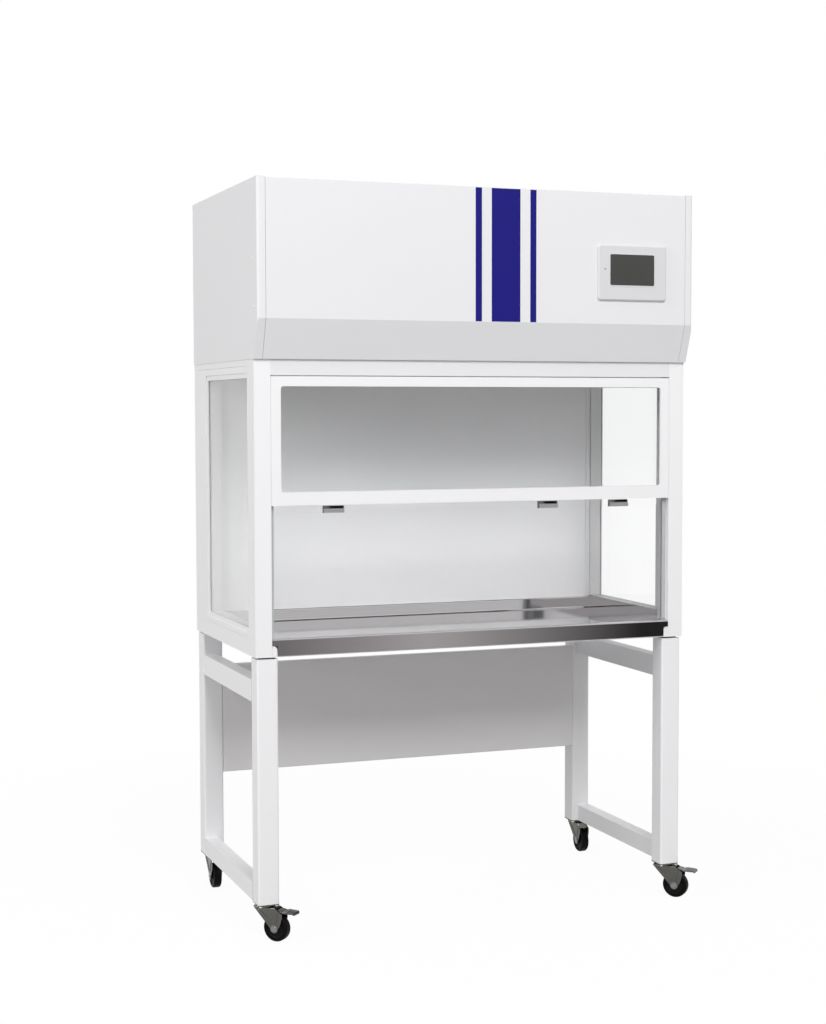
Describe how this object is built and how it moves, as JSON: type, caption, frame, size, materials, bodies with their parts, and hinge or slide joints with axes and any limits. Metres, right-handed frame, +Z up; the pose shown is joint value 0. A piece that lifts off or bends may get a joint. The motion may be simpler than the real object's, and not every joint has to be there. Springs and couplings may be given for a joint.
{
  "type": "laminar flow hood",
  "caption": "Laminar flow hood on a castered stand: glazed cabinet with sliding sash and steel work tray under a fan and filter canopy with a hinged fascia and touch panel.",
  "frame": {"origin": "on the floor under the middle of the overall box", "axes": "+X to the user's right, +Y to the rear, +Z up"},
  "size_m": [1.3504, 0.727, 2.071],
  "materials": {
    "white_coat": "satin powder coat",
    "interior_coat": "satin",
    "stainless": "polished",
    "clear_glass": "clear",
    "grey_plastic": "matte",
    "dark_rubber": "matte",
    "zinc_steel": "zinc plated",
    "bright_steel": "polished",
    "black_wheel": "satin",
    "blue_stripe": "printed film",
    "bezel_plastic": "satin",
    "dark_screen": "gloss",
    "lamp_glass": "opal",
    "uv_glass": "clear",
    "filter_frame": "mill",
    "impeller_black": "matte",
    "filter_cloth": "matte",
    "black_plastic": "matte"
  },
  "bodies": {
    "cabinet": {"back_wall": "interior_coat", "base_pan": "white_coat", "canopy_shell": "white_coat", "ceiling_frame": "white_coat", "diffuser": "filter_frame", "end_cap_screws": "bright_steel", "fan_deck": "filter_frame", "fascia_hinge": "bright_steel", "front_header": "white_coat", "front_left_plate": "zinc_steel", "front_right_plate": "zinc_steel", "front_window_frame": "white_coat", "front_window_pane": "clear_glass", "hepa_filter": "filter_frame", "lamp_batten": "white_coat", "lamp_tube": "lamp_glass", "left_end_cap": "white_coat", "left_sash_guide": "grey_plastic", "left_side_frame": "white_coat", "left_wall": "white_coat", "left_window_frame": "white_coat", "left_window_pane": "clear_glass", "modesty_panel": "white_coat", "motor": "filter_frame", "power_inlet": "black_plastic", "prefilter_frame": "filter_frame", "prefilter_pad": "filter_cloth", "rear_left_plate": "zinc_steel", "rear_panel": "interior_coat", "rear_right_plate": "zinc_steel", "right_end_cap": "white_coat", "right_sash_guide": "grey_plastic", "right_side_frame": "white_coat", "right_wall": "white_coat", "right_window_frame": "white_coat", "right_window_pane": "clear_glass", "stand_pads": "dark_rubber", "uv_tube": "uv_glass", "work_tray": "stainless"},
    "front_left_swivel": {"front_left_fork": "zinc_steel", "front_left_axle": "bright_steel"},
    "front_left_roll": {"front_left_wheel": "black_wheel"},
    "front_left_brake": {"front_left_pedal": "zinc_steel"},
    "front_right_swivel": {"front_right_fork": "zinc_steel", "front_right_axle": "bright_steel"},
    "front_right_roll": {"front_right_wheel": "black_wheel"},
    "front_right_brake": {"front_right_pedal": "zinc_steel"},
    "rear_left_swivel": {"rear_left_fork": "zinc_steel", "rear_left_axle": "bright_steel"},
    "rear_left_roll": {"rear_left_wheel": "black_wheel"},
    "rear_right_swivel": {"rear_right_fork": "zinc_steel", "rear_right_axle": "bright_steel"},
    "rear_right_roll": {"rear_right_wheel": "black_wheel"},
    "sash": {"sash_pane": "clear_glass", "sash_grips": "grey_plastic"},
    "fascia": {"fascia_door": "white_coat", "fascia_stripes": "blue_stripe", "touch_bezel": "bezel_plastic", "touch_screen": "dark_screen"},
    "rotor": {"impeller": "impeller_black"}
  },
  "joints": [
    {"name": "front_left_swivel", "type": "hinge", "parent": "cabinet", "child": "front_left_swivel", "pos_m": [-0.63736, -0.276, 0.095], "axis": [0, 0, 1], "continuous": true},
    {"name": "front_left_roll", "type": "hinge", "parent": "front_left_swivel", "child": "front_left_roll", "pos_m": [-0.61394, -0.30201, 0.0375], "axis": [0.7431, 0.6691, 0], "continuous": true},
    {"name": "front_left_brake", "type": "hinge", "parent": "front_left_swivel", "child": "front_left_brake", "pos_m": [-0.60658, -0.31018, 0.084], "axis": [0.7431, 0.6691, 0], "range_deg": [0, 12]},
    {"name": "front_right_swivel", "type": "hinge", "parent": "cabinet", "child": "front_right_swivel", "pos_m": [0.59864, -0.276, 0.095], "axis": [0, 0, 1], "continuous": true},
    {"name": "front_right_roll", "type": "hinge", "parent": "front_right_swivel", "child": "front_right_roll", "pos_m": [0.62206, -0.30201, 0.0375], "axis": [0.7431, 0.6691, 0], "continuous": true},
    {"name": "front_right_brake", "type": "hinge", "parent": "front_right_swivel", "child": "front_right_brake", "pos_m": [0.62942, -0.31018, 0.084], "axis": [0.7431, 0.6691, 0], "range_deg": [0, 12]},
    {"name": "rear_left_swivel", "type": "hinge", "parent": "cabinet", "child": "rear_left_swivel", "pos_m": [-0.63736, 0.328, 0.095], "axis": [0, 0, 1], "continuous": true},
    {"name": "rear_left_roll", "type": "hinge", "parent": "rear_left_swivel", "child": "rear_left_roll", "pos_m": [-0.63736, 0.293, 0.0375], "axis": [1, 0, 0], "continuous": true},
    {"name": "rear_right_swivel", "type": "hinge", "parent": "cabinet", "child": "rear_right_swivel", "pos_m": [0.59864, 0.328, 0.095], "axis": [0, 0, 1], "continuous": true},
    {"name": "rear_right_roll", "type": "hinge", "parent": "rear_right_swivel", "child": "rear_right_roll", "pos_m": [0.59864, 0.293, 0.0375], "axis": [1, 0, 0], "continuous": true},
    {"name": "sash_slide", "type": "slide", "parent": "cabinet", "child": "sash", "axis": [0, 0, 1], "range_m": [-0.33, 0]},
    {"name": "fascia_hinge", "type": "hinge", "parent": "cabinet", "child": "fascia", "pos_m": [-0.01936, -0.349, 2.063], "axis": [-1, 0, 0], "range_deg": [0, 80]},
    {"name": "rotor_spin", "type": "hinge", "parent": "cabinet", "child": "rotor", "pos_m": [-0.01936, 0.021, 1.83], "axis": [0, 0, 1], "continuous": true}
  ]
}
